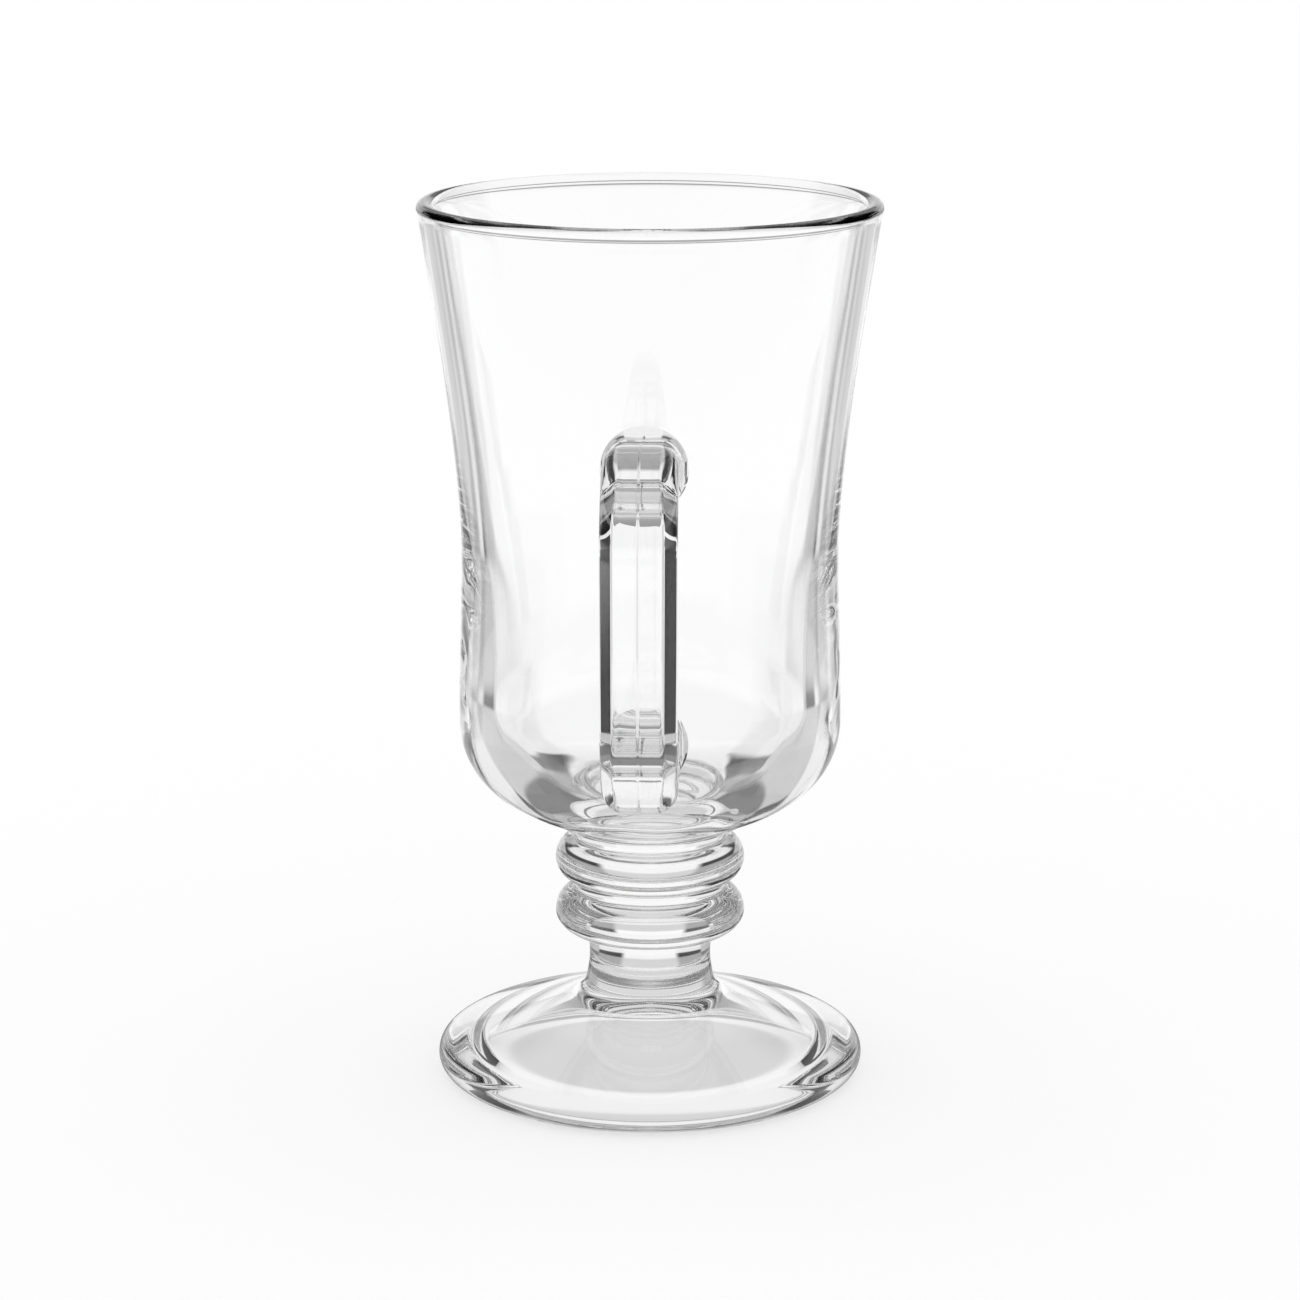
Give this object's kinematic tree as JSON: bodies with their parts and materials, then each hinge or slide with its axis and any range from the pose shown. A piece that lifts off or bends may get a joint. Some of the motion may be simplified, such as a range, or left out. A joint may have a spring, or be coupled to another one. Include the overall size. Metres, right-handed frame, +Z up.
{
  "type": "footed glass mug",
  "caption": "Footed mug of clear pressed glass for hot drinks: a flared bowl with a strap handle, on ring knops, a short stem and a spreading hollow foot.",
  "frame": {"origin": "on the surface that the mug stands on, under the middle of the mug's outer box", "axes": "+Z up along the mug's height, +X towards the handle"},
  "size_m": [0.106, 0.076, 0.1479],
  "materials": {
    "clear_glass": "clear pressed glass, fire polished, with fine mould seams"
  },
  "bodies": {
    "root": {"bowl": "clear_glass", "handle": "clear_glass", "upper_knop": "clear_glass", "lower_knop": "clear_glass", "stem": "clear_glass", "foot": "clear_glass"}
  },
  "joints": []
}
